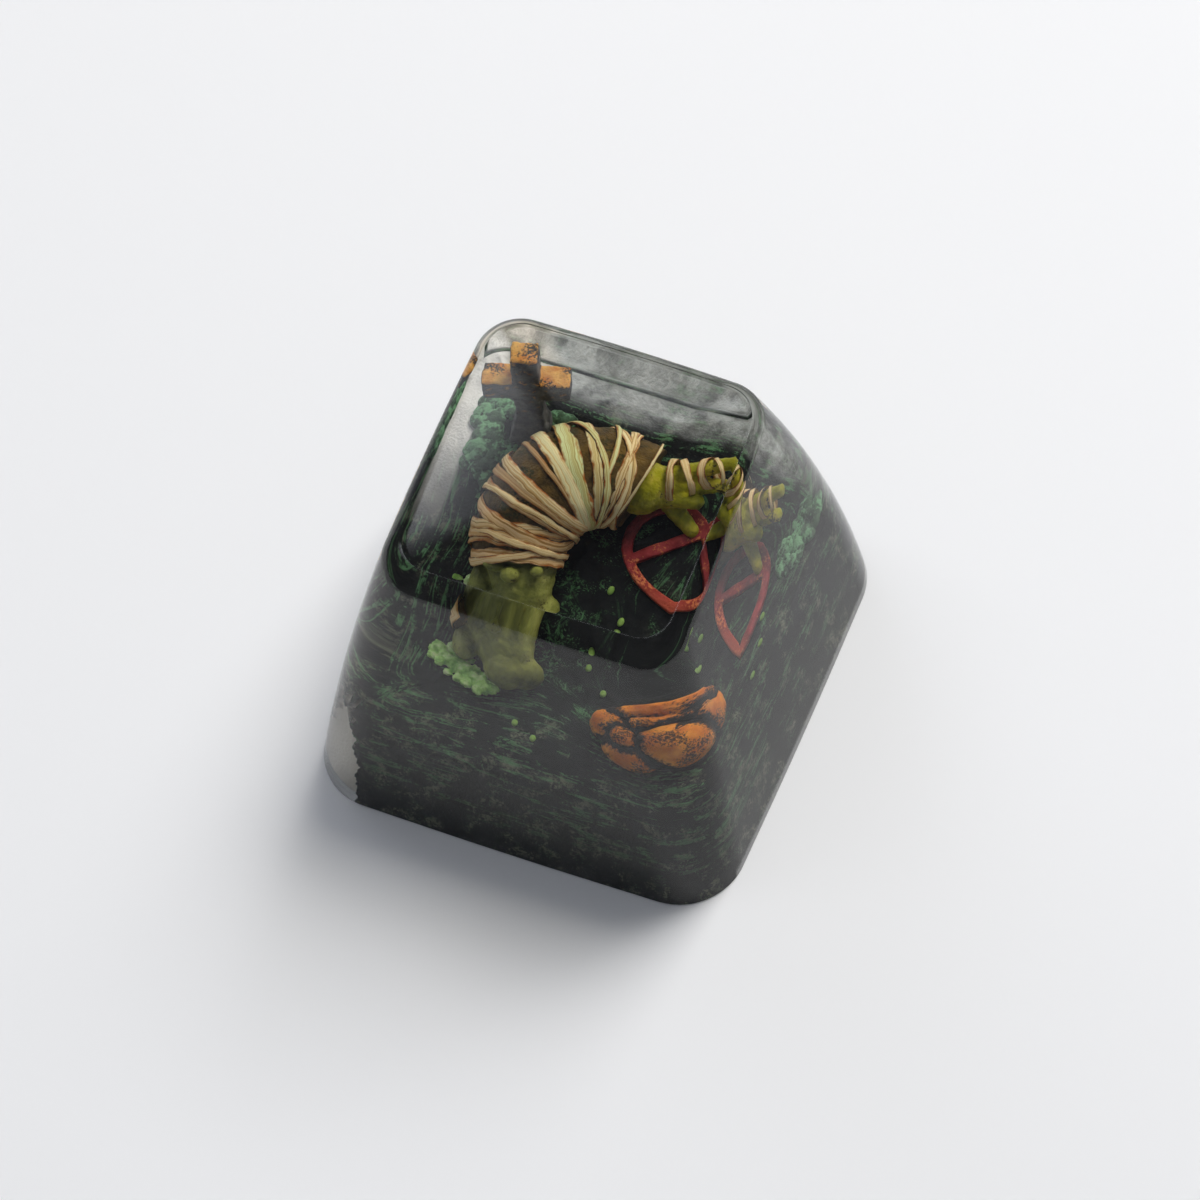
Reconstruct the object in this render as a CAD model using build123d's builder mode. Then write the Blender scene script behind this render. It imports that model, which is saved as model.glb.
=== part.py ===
from build123d import *

import os
from math import atan2, cos, degrees, hypot, pi, radians, sin, tan

# Artisan keycap: a clear resin cap cast over a small graveyard scene, on a dark base with a stem below.
# Millimetres, +Z up. The origin is the centre of the rim that the cap stands on. +Y points to the
# back of the keyboard, and the typist sits on the -Y side.

# Outer form of the cap: the lean and the swell of each wall, and the top plane by its height over the origin
base_width = 18.0
base_depth = 18.0
top_height = 12.6
top_tilt = 6.0
front_lean = 19.6
back_lean = 6.6
side_lean = 12.0
front_swell = 0.18
back_swell = 0.4
side_swell = 0.24
wall_bands = 5
foot_corner_radius = 2.65
top_corner_radius = 1.8
top_edge_radius = 0.8
rim_chamfer = 0.25
dish_diameter = 11.0
dish_depth = 0.35

# Clear skin round the dark base, the clear rim under it and the corner that the dark pour missed
clear_skin = 0.2
clear_rim = 0.25
missed_corner_radius = 2.0
missed_corner_tip = 0.4
missed_corner_height = 5.4

# Underside: the hollow for the switch, and the stem with its cross socket
hollow_width = 14.6
hollow_depth = 14.6
hollow_height = 4.0
hollow_corner_radius = 1.0
hollow_draft = 3.0
stem_diameter = 5.6
stem_recess = 0.4
stem_root = 0.2
socket_length = 4.1
socket_x_thickness = 1.3
socket_y_thickness = 1.2
socket_depth = 3.6

# Ground: a slope from front to back, a lip that falls away to the front and a mound under the cross
ground_front = 4.8
ground_back = 6.0
ground_lip = 3.4
ground_lip_reach = 3.0
mound_rise = 0.8
mound_radius = 11.0

# Wrapped figure: a body curled round a point, with its head at the front and a hand at the right
curl_x = 1.0
curl_y = 0.6
curl_radius = 3.35
curl_start = 205.0
curl_end = 80.0
wrap_count = 9
wrap_sides = 14
wrap_width = 1.5
wrap_flare = 7.0
wrap_lean = 7.0
head_end_radius = 1.75
middle_radius = 2.3
arm_end_radius = 1.9
figure_sink = 0.3
head_radius = 1.65
nape_radius = 1.1
nape_reach = 1.2
muzzle_radius = 0.95
muzzle_reach = 2.3
muzzle_drop = 0.75
ear_radius = 0.45
ear_height = 0.9
limb_sides = 8
arm_radius = 1.4
wrist_radius = 0.95
arm_reach = 1.9
arm_spread = 16.0
finger_radius = 0.48
finger_tip_radius = 0.3
finger_length = 1.1
finger_rays = [(75, 5), (38, 20), (5, 8), (-40, -15)]

# Grave cross
cross_from_left = 5.05
cross_from_back = 3.85
cross_height = 5.8
cross_turn = 17.0
cross_lean = 12.0
cross_span = 3.7
cross_arm_drop = 2.2
cross_width = 1.15
cross_depth = 1.1
cross_foot_flare = 0.4
cross_foot_height = 1.8
cross_edge = 0.15

# Pumpkin: a rosette of lobes with drawn-in shoulders, and a leaning stalk
pumpkin_from_right = 4.1
pumpkin_from_front = 4.9
pumpkin_lobes = 6
pumpkin_lobe_radius = 1.0
pumpkin_lobe_circle = 1.15
pumpkin_belly = 1.1
pumpkin_shoulder = 1.0
pumpkin_shoulder_draft = 33.0
pumpkin_sink = 0.4
stalk_length = 1.9
stalk_radius = 0.42
stalk_tip_radius = 0.3
stalk_lean = 55.0
stalk_turn = 20.0

# Fallen red frame, a pointed ring with a crossbar
frame_x = 3.9
frame_y = 1.6
frame_turn = -52.0
frame_length = 5.0
frame_bend = 1.7
frame_width = 3.4
frame_bar = 0.5
frame_thickness = 0.5
frame_sink = 0.15

# Leaf sprig with a ragged edge
leaf_x = -3.3
leaf_y = -2.9
leaf_turn = -32.0
leaf_length = 3.7
leaf_width = 1.3
leaf_teeth = 5
leaf_notch = 0.3
leaf_end_share = 0.1
leaf_thickness = 0.5
leaf_sink = 0.2

# Moss clumps, each of one large lump and a ring of small ones
moss_from_right = 3.1
moss_from_back = 3.0
moss_from_cross = 2.2
moss_radius = 0.95
moss_side_radius = 0.7
moss_side_lumps = 3
moss_sides = 7
moss_draft = 24.0
moss_height = 0.5
moss_sink = 0.45

side_slope = tan(radians(side_lean))
front_slope = tan(radians(front_lean))
back_slope = tan(radians(back_lean))
top_slope = tan(radians(top_tilt))


def drawn_in(slope, swell, height):
    """How far a wall stands in from its foot at a height: its lean, less its swell between foot and top."""
    share = height / top_height
    return slope * height - 4 * swell * share * (1 - share)


def cap_form(inset):
    """The cap's swollen form with rounded corners, drawn in by inset on every side and at the top."""
    peak = top_height + top_slope * base_depth / 2
    with BuildPart() as form:
        for band in range(wall_bands + 1):
            height = peak * band / wall_bands
            half_width = base_width / 2 - drawn_in(side_slope, side_swell, height) - inset
            front = drawn_in(front_slope, front_swell, height) - base_depth / 2 + inset
            back = base_depth / 2 - drawn_in(back_slope, back_swell, height) - inset
            radius = foot_corner_radius + (top_corner_radius - foot_corner_radius) * height / peak - inset
            with BuildSketch(Plane.XY.offset(height)):
                with Locations((0, (front + back) / 2)):
                    RectangleRounded(2 * half_width, back - front, radius)
        loft(ruled=True)
        top_cut = Plane(origin=(0, 0, top_height - inset), z_dir=(0, -top_slope, 1))
        split(bisect_by=top_cut, keep=Keep.BOTTOM)
    return form.part


def ground_height(x, y):
    """Height of the ground's surface at a place."""
    slope = ground_front + (ground_back - ground_front) * (y / base_depth + 0.5)
    if y < lip_y:
        slope = lip_height + (ground_lip - lip_height) * (lip_y - y) / ground_lip_reach
    reach = hypot(x - cross_x, y - cross_y)
    mound = mound_top - mound_radius
    if reach < mound_radius:
        mound += (mound_radius**2 - reach**2) ** 0.5
    return max(slope, mound)


def ground_plane(x, y, turn, sink):
    """A plane that lies on the ground's slope, turned about its normal and sunk below the surface."""
    rise = (ground_back - ground_front) / base_depth
    upward = Vector(0, -rise, 1).normalized()
    across = Vector(cos(radians(turn)), sin(radians(turn)), rise * sin(radians(turn)))
    return Plane(origin=(x, y, ground_height(x, y)), x_dir=across, z_dir=upward).offset(-sink)


def limb(start, end, start_radius, end_radius):
    """A tapered faceted limb from one point to another."""
    axis = end - start
    flat_taper = (start_radius - end_radius) * cos(pi / limb_sides)
    with BuildPart() as shape:
        with BuildSketch(Plane(origin=start, z_dir=axis)):
            RegularPolygon(start_radius, limb_sides)
        extrude(amount=axis.length, taper=degrees(atan2(flat_taper, axis.length)))
    return shape.part


os.makedirs("parts", exist_ok=True)

# Solid block of the whole cap, with its dished top and softened edges
with BuildPart() as block:
    add(cap_form(0))
    top_face = block.faces().sort_by(Axis.Z)[-1]
    top_plane = Plane(top_face)
    fillet(top_face.edges(), top_edge_radius)
    chamfer(block.faces().sort_by(Axis.Z)[0].edges(), rim_chamfer)
    dish_radius = ((dish_diameter / 2) ** 2 + dish_depth**2) / (2 * dish_depth)
    dish_centre = top_plane.offset(dish_radius - dish_depth).origin
    with Locations(Plane(origin=dish_centre, z_dir=(1, 0, 0))):
        Sphere(dish_radius, mode=Mode.SUBTRACT)

# Ground: the slope, its lip and the mound
cross_x = cross_from_left - base_width / 2
cross_y = base_depth / 2 - cross_from_back
cross_across = (cos(radians(cross_turn)), sin(radians(cross_turn)), 0)
mound_top = ground_front + (ground_back - ground_front) * (cross_y / base_depth + 0.5) + mound_rise
lip_y = ground_lip_reach - base_depth / 2
lip_height = ground_front + (ground_back - ground_front) * ground_lip_reach / base_depth
with BuildPart() as ground_relief:
    with BuildSketch(Plane.YZ):
        with BuildLine():
            Polyline(
                (-base_depth / 2, clear_rim),
                (base_depth / 2, clear_rim),
                (base_depth / 2, ground_back),
                (lip_y, lip_height),
                (-base_depth / 2, ground_lip),
                close=True,
            )
        make_face()
    extrude(amount=base_width / 2, both=True)
    with Locations(Plane(origin=(cross_x, cross_y, mound_top - mound_radius), z_dir=cross_across)):
        Sphere(mound_radius)
    split(bisect_by=Plane.XY.offset(clear_rim))

# The dark pour fills the skin up to the ground's surface, short of one front corner
corner = Vector(-base_width / 2, -base_depth / 2, clear_rim)
corner_edge = Vector(side_slope, front_slope, 1)
with BuildPart() as ground_core:
    add(cap_form(clear_skin))
    add(ground_relief.part, mode=Mode.INTERSECT)
    with Locations(Plane(origin=corner, z_dir=corner_edge)):
        Cone(
            missed_corner_radius,
            missed_corner_tip,
            missed_corner_height,
            align=(Align.CENTER, Align.CENTER, Align.MIN),
            mode=Mode.SUBTRACT,
        )

# Underside hollow
with BuildPart() as hollow:
    with BuildSketch():
        RectangleRounded(hollow_width, hollow_depth, hollow_corner_radius)
    extrude(amount=hollow_height, taper=hollow_draft)

# Dark base with its stem and cross socket
with BuildPart() as ground_base:
    add(ground_core.part)
    add(hollow.part, mode=Mode.SUBTRACT)
    with BuildSketch(Plane.XY.offset(stem_recess)):
        Circle(stem_diameter / 2)
    extrude(amount=hollow_height - stem_recess + stem_root)
    with BuildSketch(Plane.XY.offset(stem_recess)):
        Rectangle(socket_length, socket_x_thickness)
        Rectangle(socket_y_thickness, socket_length)
    extrude(amount=socket_depth, mode=Mode.SUBTRACT)
ground_base.part.label = "ground_base"
export_step(ground_base.part, "parts/ground_base.step")


def curl_point(angle, girth):
    """Centre of the curled body at an angle round its curl, resting in the ground by its girth."""
    x = curl_x + curl_radius * cos(radians(angle))
    y = curl_y + curl_radius * sin(radians(angle))
    return Vector(x, y, ground_height(x, y) + girth - figure_sink)


def girth_at(share):
    """The body's radius along the curl: its two ends blended, and swollen in the middle."""
    ends = head_end_radius * (1 - share) + arm_end_radius * share
    return ends + (middle_radius - ends) * sin(pi * share)


# Figure: overlapping wraps round the curl, a head with a blunt muzzle, and an arm with its fingers
with BuildPart() as wrapped_figure:
    for step in range(wrap_count):
        share = (step + 0.5) / wrap_count
        angle = curl_start + share * (curl_end - curl_start)
        lean = wrap_lean if step % 2 else -wrap_lean
        heading = radians(angle - 90 + lean)
        along = Vector(cos(heading), sin(heading), sin(radians(lean)))
        wrap_plane = Plane(origin=curl_point(angle, girth_at(share)), z_dir=along)
        with BuildSketch(wrap_plane.offset(-wrap_width / 2)):
            RegularPolygon(girth_at(share), wrap_sides)
        extrude(amount=wrap_width, taper=wrap_flare)

    head = curl_point(curl_start, head_radius)
    facing = Vector(-sin(radians(curl_start)), cos(radians(curl_start)), 0)
    muzzle = head + facing * muzzle_reach - Vector(0, 0, muzzle_drop)
    add(limb(head, muzzle, head_radius, muzzle_radius))
    add(limb(head, head - facing * nape_reach, head_radius, nape_radius))
    for side in (-1, 1):
        ear_foot = head + facing.cross(Vector(0, 0, side)) * head_radius / 2
        ear_tip = ear_foot + Vector(0, 0, head_radius / 2 + ear_height)
        add(limb(ear_foot, ear_tip, ear_radius, ear_radius / 2))

    shoulder = curl_point(curl_end, arm_end_radius)
    arm_heading = radians(arm_spread)
    wrist = shoulder + Vector(cos(arm_heading), sin(arm_heading), 0) * arm_reach
    add(limb(shoulder, wrist, arm_radius, wrist_radius))
    for spread, rise in finger_rays:
        ray = Vector(cos(radians(spread)), sin(radians(spread)), sin(radians(rise)))
        fingertip = wrist + ray * (wrist_radius + finger_length)
        add(limb(wrist, fingertip, finger_radius, finger_tip_radius))
    add(ground_core.part, mode=Mode.SUBTRACT)
wrapped_figure.part.label = "wrapped_figure"
export_step(wrapped_figure.part, "parts/wrapped_figure.step")

# Grave cross: a flared post with one arm across it
cross_facing = (sin(radians(cross_turn)), -cos(radians(cross_turn)), 0)
upright = Plane(origin=(cross_x, cross_y, mound_top), x_dir=cross_across, z_dir=cross_facing)
cross_plane = upright.rotated((-cross_lean, 0, 0))
with BuildPart() as grave_cross:
    with BuildSketch(cross_plane.offset(-cross_depth / 2)):
        with BuildLine():
            half_width = cross_width / 2
            half_foot = half_width + cross_foot_flare
            Polyline(
                (-half_foot, -cross_depth),
                (half_foot, -cross_depth),
                (half_width, cross_foot_height),
                (half_width, cross_height),
                (-half_width, cross_height),
                (-half_width, cross_foot_height),
                close=True,
            )
        make_face()
        with Locations((0, cross_height - cross_arm_drop)):
            Rectangle(cross_span, cross_width)
    extrude(amount=cross_depth)
    for broad_face in grave_cross.faces().filter_by(cross_plane):
        chamfer(broad_face.edges(), cross_edge)
    add(ground_core.part, mode=Mode.SUBTRACT)
grave_cross.part.label = "grave_cross"
export_step(grave_cross.part, "parts/grave_cross.step")

# Pumpkin: a rosette for its belly, its shoulders drawn in above, and a stalk
pumpkin_x = base_width / 2 - pumpkin_from_right
pumpkin_y = pumpkin_from_front - base_depth / 2
pumpkin_seat = Vector(pumpkin_x, pumpkin_y, ground_height(pumpkin_x, pumpkin_y))
with BuildPart() as pumpkin:
    with BuildSketch(Plane(origin=pumpkin_seat - Vector(0, 0, pumpkin_sink))):
        Circle(pumpkin_lobe_circle)
        with PolarLocations(pumpkin_lobe_circle, pumpkin_lobes):
            Circle(pumpkin_lobe_radius)
    extrude(amount=pumpkin_sink + pumpkin_belly)
    extrude(pumpkin.faces().sort_by(Axis.Z)[-1], amount=pumpkin_shoulder, taper=pumpkin_shoulder_draft)
    stalk_foot = pumpkin_seat + Vector(0, 0, pumpkin_belly + pumpkin_shoulder)
    stalk_ray = Vector(
        sin(radians(stalk_lean)) * cos(radians(stalk_turn)),
        sin(radians(stalk_lean)) * sin(radians(stalk_turn)),
        cos(radians(stalk_lean)),
    )
    add(limb(stalk_foot, stalk_foot + stalk_ray * stalk_length, stalk_radius, stalk_tip_radius))
    add(ground_core.part, mode=Mode.SUBTRACT)
pumpkin.part.label = "pumpkin"
export_step(pumpkin.part, "parts/pumpkin.step")

# Fallen frame: a pointed ring with a crossbar, lying on the ground
with BuildPart() as red_frame:
    with BuildSketch(ground_plane(frame_x, frame_y, frame_turn, frame_sink)):
        with BuildLine():
            bend = (frame_bend - frame_length / 2, frame_width / 2)
            Line((frame_length / 2, 0), bend)
            ThreePointArc(bend, (-frame_length / 2, 0), (bend[0], -bend[1]))
            Line((bend[0], -bend[1]), (frame_length / 2, 0))
        make_face()
        offset(amount=-frame_bar, mode=Mode.SUBTRACT)
        with Locations((bend[0], 0)):
            Rectangle(frame_bar, frame_width - frame_bar)
    extrude(amount=frame_thickness)
    add(ground_core.part, mode=Mode.SUBTRACT)
red_frame.part.label = "red_frame"
export_step(red_frame.part, "parts/red_frame.step")

# Leaf sprig: a blade with a toothed edge, lying on the ground
upper_edge = []
for tooth in range(2 * leaf_teeth + 1):
    place = tooth / (2 * leaf_teeth)
    reach = leaf_width / 2 * sin(pi * (leaf_end_share + (1 - 2 * leaf_end_share) * place))
    notch = leaf_notch if tooth % 2 else 0
    upper_edge.append((leaf_length * (place - 0.5), reach - notch))
lower_edge = [(x, -y) for x, y in reversed(upper_edge)]
with BuildPart() as leaf_sprig:
    with BuildSketch(ground_plane(leaf_x, leaf_y, leaf_turn, leaf_sink)):
        with BuildLine():
            Polyline(*upper_edge, *lower_edge, close=True)
        make_face()
    extrude(amount=leaf_thickness)
    add(ground_core.part, mode=Mode.SUBTRACT)
leaf_sprig.part.label = "leaf_sprig"
export_step(leaf_sprig.part, "parts/leaf_sprig.step")

# Moss clumps by the cross and by the right wall, which grow no further than the figure
moss_places = [
    (cross_x - moss_radius, cross_y - moss_from_cross),
    (base_width / 2 - moss_from_right, base_depth / 2 - moss_from_back),
]
with BuildPart() as moss_clumps:
    for moss_x, moss_y in moss_places:
        lumps = [(moss_x, moss_y, moss_radius)]
        for lump in range(moss_side_lumps):
            around = 2 * pi * lump / moss_side_lumps
            side_x = moss_x + moss_side_radius * cos(around)
            side_y = moss_y + moss_side_radius * sin(around)
            lumps.append((side_x, side_y, moss_side_radius))
        for x, y, radius in lumps:
            with BuildSketch(Plane(origin=(x, y, ground_height(x, y) - moss_sink))):
                RegularPolygon(radius, moss_sides)
            extrude(amount=moss_sink + moss_height * radius / moss_side_radius, taper=moss_draft)
    add(ground_core.part, mode=Mode.SUBTRACT)
    add(wrapped_figure.part, mode=Mode.SUBTRACT)
moss_clumps.part.label = "moss_clumps"
export_step(moss_clumps.part, "parts/moss_clumps.step")

# Clear resin: the block round everything that is cast in it
with BuildPart() as clear_resin:
    add(block.part)
    add(hollow.part, mode=Mode.SUBTRACT)
    add(ground_core.part, mode=Mode.SUBTRACT)
    for piece in (wrapped_figure, grave_cross, pumpkin, red_frame, leaf_sprig, moss_clumps):
        add(piece.part, mode=Mode.SUBTRACT)
clear_resin.part.label = "clear_resin"
export_step(clear_resin.part, "parts/clear_resin.step")
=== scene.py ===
# %% [markdown]
# # A clear keycap with a small graveyard cast inside
#
# The object is a resin keycap, about 18 mm wide. A dark ground fills its lower half, painted pieces stand on
# that ground, and clear resin is cast over everything. Almost all that the eye sees is seen through the resin,
# so this lesson makes one clean, clear shell and then builds with care what lies in it.
#
# The shapes are drawn in millimetres, because that is how such a small thing is measured, and each finished
# mesh is scaled to metres at the end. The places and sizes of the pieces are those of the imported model.

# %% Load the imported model
from math import cos, hypot, pi, radians, sin, tan

import bmesh
import bpy
from mathutils import Matrix, Vector, noise


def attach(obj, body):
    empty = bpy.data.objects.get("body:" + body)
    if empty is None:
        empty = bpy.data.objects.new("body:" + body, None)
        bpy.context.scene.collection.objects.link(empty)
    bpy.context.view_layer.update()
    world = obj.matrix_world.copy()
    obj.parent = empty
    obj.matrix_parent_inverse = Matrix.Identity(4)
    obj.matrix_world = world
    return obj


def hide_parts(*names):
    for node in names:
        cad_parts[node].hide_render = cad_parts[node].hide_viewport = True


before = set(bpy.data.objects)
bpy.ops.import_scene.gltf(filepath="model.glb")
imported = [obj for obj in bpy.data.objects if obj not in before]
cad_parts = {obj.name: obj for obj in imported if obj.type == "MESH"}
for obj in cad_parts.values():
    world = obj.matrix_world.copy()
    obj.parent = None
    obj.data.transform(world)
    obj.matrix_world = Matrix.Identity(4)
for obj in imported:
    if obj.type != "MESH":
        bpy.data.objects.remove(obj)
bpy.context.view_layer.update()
METRES = 0.001
print("packed nodes:", sorted(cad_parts))

# %% [markdown]
# ## Helpers for meshes
#
# A few small helpers carry the whole lesson. One joins rings of points into a skin, which suits every form that
# has a section and a path. One melts a heap of simple lumps into a single body by remeshing it, which suits
# what was modelled by hand in clay. The last scales a mesh to metres and lets it ride on the cap.

# %% Mesh helpers
SHARP = radians(50)
BIG_BALL = 0.6
BALL_SPACING = 0.45


def shares(count):
    """Even shares from 0 to 1, both included."""
    return [step / count for step in range(count + 1)]


def loft(shape, rings):
    """Skin a row of rings, each with the same number of points."""
    rows = [[shape.verts.new(point) for point in ring] for ring in rings]
    for low, high in zip(rows, rows[1:]):
        for here in range(len(low)):
            after = (here + 1) % len(low)
            shape.faces.new((low[here], low[after], high[after], high[here]))
    return rows


def fan(shape, row, centre):
    """Close a row of vertices with a fan of triangles."""
    middle = shape.verts.new(centre)
    for here, vertex in enumerate(row):
        shape.faces.new((vertex, row[(here + 1) % len(row)], middle))


def skin_of(name, rings, start, end):
    """A closed skin over a row of rings, with a fan to a point at each end."""
    shape = bmesh.new()
    rows = loft(shape, rings)
    fan(shape, rows[-1], end)
    fan(shape, rows[0], start)
    return shape_object(name, shape)


def new_object(name, data):
    """Link a mesh, a curve, a lamp or a camera to the scene under a name."""
    thing = bpy.data.objects.new(name, data)
    bpy.context.scene.collection.objects.link(thing)
    return thing


def shape_object(name, shape):
    """Turn a bmesh into a smooth object with its faces turned outwards."""
    bmesh.ops.recalc_face_normals(shape, faces=shape.faces)
    mesh = bpy.data.meshes.new(name)
    shape.to_mesh(mesh)
    shape.free()
    mesh.shade_smooth()
    mesh.set_sharp_from_angle(angle=SHARP)
    return new_object(name, mesh)


def settle(thing):
    """Put a plain mesh in the place of an object with modifiers."""
    graph = bpy.context.evaluated_depsgraph_get()
    mesh = bpy.data.meshes.new_from_object(thing.evaluated_get(graph))
    name = thing.name
    bpy.data.objects.remove(thing)
    return new_object(name, mesh)


def clay(name, shape, grain, smoothing):
    """Melt the closed lumps of a bmesh into one smooth body, as if pressed from clay."""
    thing = shape_object(name, shape)
    remesh = thing.modifiers.new("melt", "REMESH")
    remesh.mode = "VOXEL"
    remesh.voxel_size = grain
    remesh.use_smooth_shade = True
    smooth = thing.modifiers.new("smooth", "SMOOTH")
    smooth.factor = 0.5
    smooth.iterations = smoothing
    return settle(thing)


def ball(shape, centre, radius, stretch=(1, 1, 1)):
    """Add a ball of clay, stretched along the axes."""
    place = Matrix.Translation(centre) @ Matrix.Diagonal((*stretch, 1))
    bmesh.ops.create_icosphere(shape, subdivisions=3 if radius > BIG_BALL else 2, radius=radius, matrix=place)


def roll(shape, start, end, start_radius, end_radius):
    """Add a roll of clay from one point to another, as a row of balls."""
    start, end = Vector(start), Vector(end)
    balls = max(2, round((end - start).length / (BALL_SPACING * min(start_radius, end_radius))))
    for share in shares(balls):
        ball(shape, start.lerp(end, share), start_radius + (end_radius - start_radius) * share)


def ripple(thing, depth, pitch):
    """Push a mesh in and out along its normals by a fixed noise."""
    normals = [vertex.normal.copy() for vertex in thing.data.vertices]
    for vertex, normal in zip(thing.data.vertices, normals):
        vertex.co += normal * depth * noise.fractal(vertex.co / pitch, 0.6, 2.0, 3)
    thing.data.update()


def finish_piece(thing, material, replaced=None):
    """Scale a piece to metres, paint it and let it ride on the cap."""
    thing.data.transform(Matrix.Scale(METRES, 4))
    if not thing.data.materials:
        thing.data.materials.append(material)
    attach(thing, "root")
    if replaced:
        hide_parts(replaced)
    print(thing.name, len(thing.data.polygons), "faces")


# %% [markdown]
# ## Helpers for node trees
#
# Materials and Geometry Nodes are both trees of nodes. One helper adds a node, sets its properties and feeds
# its inputs in a single call. The others add the few kinds of node that this lesson uses again and again, and
# each gives back what the next node needs, so a tree reads from top to bottom like a recipe. A socket knows the
# tree that it belongs to, so most of the helpers need not be told.

# %% Node helpers


def feed(value, socket):
    """Give an input a link if the value is a socket itself, and a plain value otherwise."""
    if isinstance(value, bpy.types.NodeSocket):
        socket.id_data.links.new(value, socket)
    else:
        socket.default_value = value


def add_node(tree, kind, inputs=None, **settings):
    """Add a node to a tree, with its settings and with its inputs fed."""
    made = tree.nodes.new(kind)
    for name, value in settings.items():
        setattr(made, name, value)
    for name, value in (inputs or {}).items():
        feed(value, made.inputs[name])
    return made


def tree_of(values):
    """The tree of the first socket among some values."""
    return next(value.id_data for value in values if isinstance(value, bpy.types.NodeSocket))


def flow(kind, inputs, **settings):
    """Add a node to the tree that its inputs come from, and give its first output."""
    return add_node(tree_of(inputs.values()), kind, inputs, **settings).outputs[0]


def maths(operation, *values):
    """Reckon with numbers."""
    return flow("ShaderNodeMath", dict(enumerate(values)), operation=operation)


def vector_maths(operation, first, second):
    """Reckon with two vectors, or scale one by a number."""
    inputs = {0: first, "Scale" if operation == "SCALE" else 1: second}
    return flow("ShaderNodeVectorMath", inputs, operation=operation)


def product(*values):
    """Multiply masks."""
    result = values[0]
    for value in values[1:]:
        result = maths("MULTIPLY", result, value)
    return result


def between(value, start, end):
    """A mask that rises from 0 at the start to 1 at the end."""
    return flow("ShaderNodeMapRange", {"Value": value, "From Min": start, "From Max": end})


def cloud(place, scale, detail, roughness=0.5, output="Fac"):
    """A cloudy noise: a number from 0 to 1, or a colour."""
    inputs = {"Vector": place, "Scale": scale, "Detail": detail, "Roughness": roughness}
    return add_node(place.id_data, "ShaderNodeTexNoise", inputs).outputs[output]


def attribute(place, name):
    """Read a number that each point of a piece carries, in the same tree as its place."""
    return add_node(place.id_data, "ShaderNodeAttribute", attribute_name=name).outputs["Fac"]


def axes(vector):
    """The X, Y and Z of a vector."""
    return add_node(vector.id_data, "ShaderNodeSeparateXYZ", {0: vector}).outputs


def srgb(*parts):
    """A colour as it is seen on a screen, 0 to 255, as the linear colour that a shader wants."""
    levels = [part / 255 for part in parts]
    return (*(((level + 0.055) / 1.055) ** 2.4 if level > 0.04 else level / 12.92 for level in levels), 1)


def ramp(value, *stops):
    """A colour ramp with its stops given as pairs of position and colour."""
    made = add_node(value.id_data, "ShaderNodeValToRGB", {"Fac": value})
    elements = made.color_ramp.elements
    while len(elements) < len(stops):
        elements.new(1.0)
    for element, (position, colour) in zip(elements, stops):
        element.position, element.color = position, colour
    return made.outputs["Color"]


def mixed(share, first, second, blend="MIX"):
    """Mix two colours by a mask. A Mix node takes colours at its inputs 6 and 7 and gives one at its output 2."""
    inputs = {0: share, 6: first, 7: second}
    tree = tree_of(inputs.values())
    return add_node(tree, "ShaderNodeMix", inputs, data_type="RGBA", blend_type=blend).outputs[2]


def new_tree(name, kind, inputs, outputs):
    """Start a node tree with named sockets, and give the tree, what comes in and what goes out."""
    tree = bpy.data.node_groups.new(name, kind + "NodeTree")
    for way, sockets in (("INPUT", inputs), ("OUTPUT", outputs)):
        for label, content in sockets.items():
            tree.interface.new_socket(label, in_out=way, socket_type="NodeSocket" + content)
    return tree, tree.nodes.new("NodeGroupInput").outputs, tree.nodes.new("NodeGroupOutput").inputs


# %% [markdown]
# ## Shared finishes
#
# The pieces were painted by hand and dry-brushed: a dark wash stays in the hollows, and a pale paint catches
# on the grain. Two node groups make those marks, so every painted piece is worn in the same manner. The first
# gives scattered specks, the second a soft mottling and a fine grain for the bump.

# %% Paint groups
SPECK_EDGE = 0.06
sockets = {"Vector": "Vector", "Fineness": "Float", "Cut": "Float"}
specks, given, result = new_tree("specks", "Shader", sockets, {"Mask": "Float"})
grains = cloud(given["Vector"], given["Fineness"], 3.0, 0.65)
patches = cloud(given["Vector"], 0.9, 1.0)
full = maths("ADD", given["Cut"], SPECK_EDGE)
feed(between(product(grains, patches), given["Cut"], full), result["Mask"])

sockets = {"Vector": "Vector", "Fineness": "Float"}
mottle, given, result = new_tree("mottle", "Shader", sockets, {"Tone": "Float", "Grain": "Float"})
feed(cloud(given["Vector"], given["Fineness"], 4.0, 0.6), result["Tone"])
feed(cloud(given["Vector"], 9.0, 3.0), result["Grain"])
print("shared finishes:", specks.name, mottle.name)

# %% [markdown]
# Each painted finish then starts in the same way: a Principled shader, the place on the piece in millimetres,
# the mottling there, and a bump from its grain. What follows is only a matter of colours.

# %% Painted finish


def new_material(name, inputs):
    """A material whose Principled shader has some plain inputs."""
    material = bpy.data.materials.new(name)
    material.use_nodes = True
    for label, value in inputs.items():
        feed(value, material.node_tree.nodes["Principled BSDF"].inputs[label])
    return material


def millimetres(material):
    """The place on a piece, in millimetres."""
    coordinates = add_node(material.node_tree, "ShaderNodeTexCoord")
    return vector_maths("SCALE", coordinates.outputs["Object"], 1 / METRES)


def raise_grain(height, depth):
    """Raise a surface by a height that varies, to a depth in millimetres."""
    raised = flow("ShaderNodeBump", {"Height": height, "Distance": depth * METRES, "Strength": 1.0})
    feed(raised, height.id_data.nodes["Principled BSDF"].inputs["Normal"])


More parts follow.
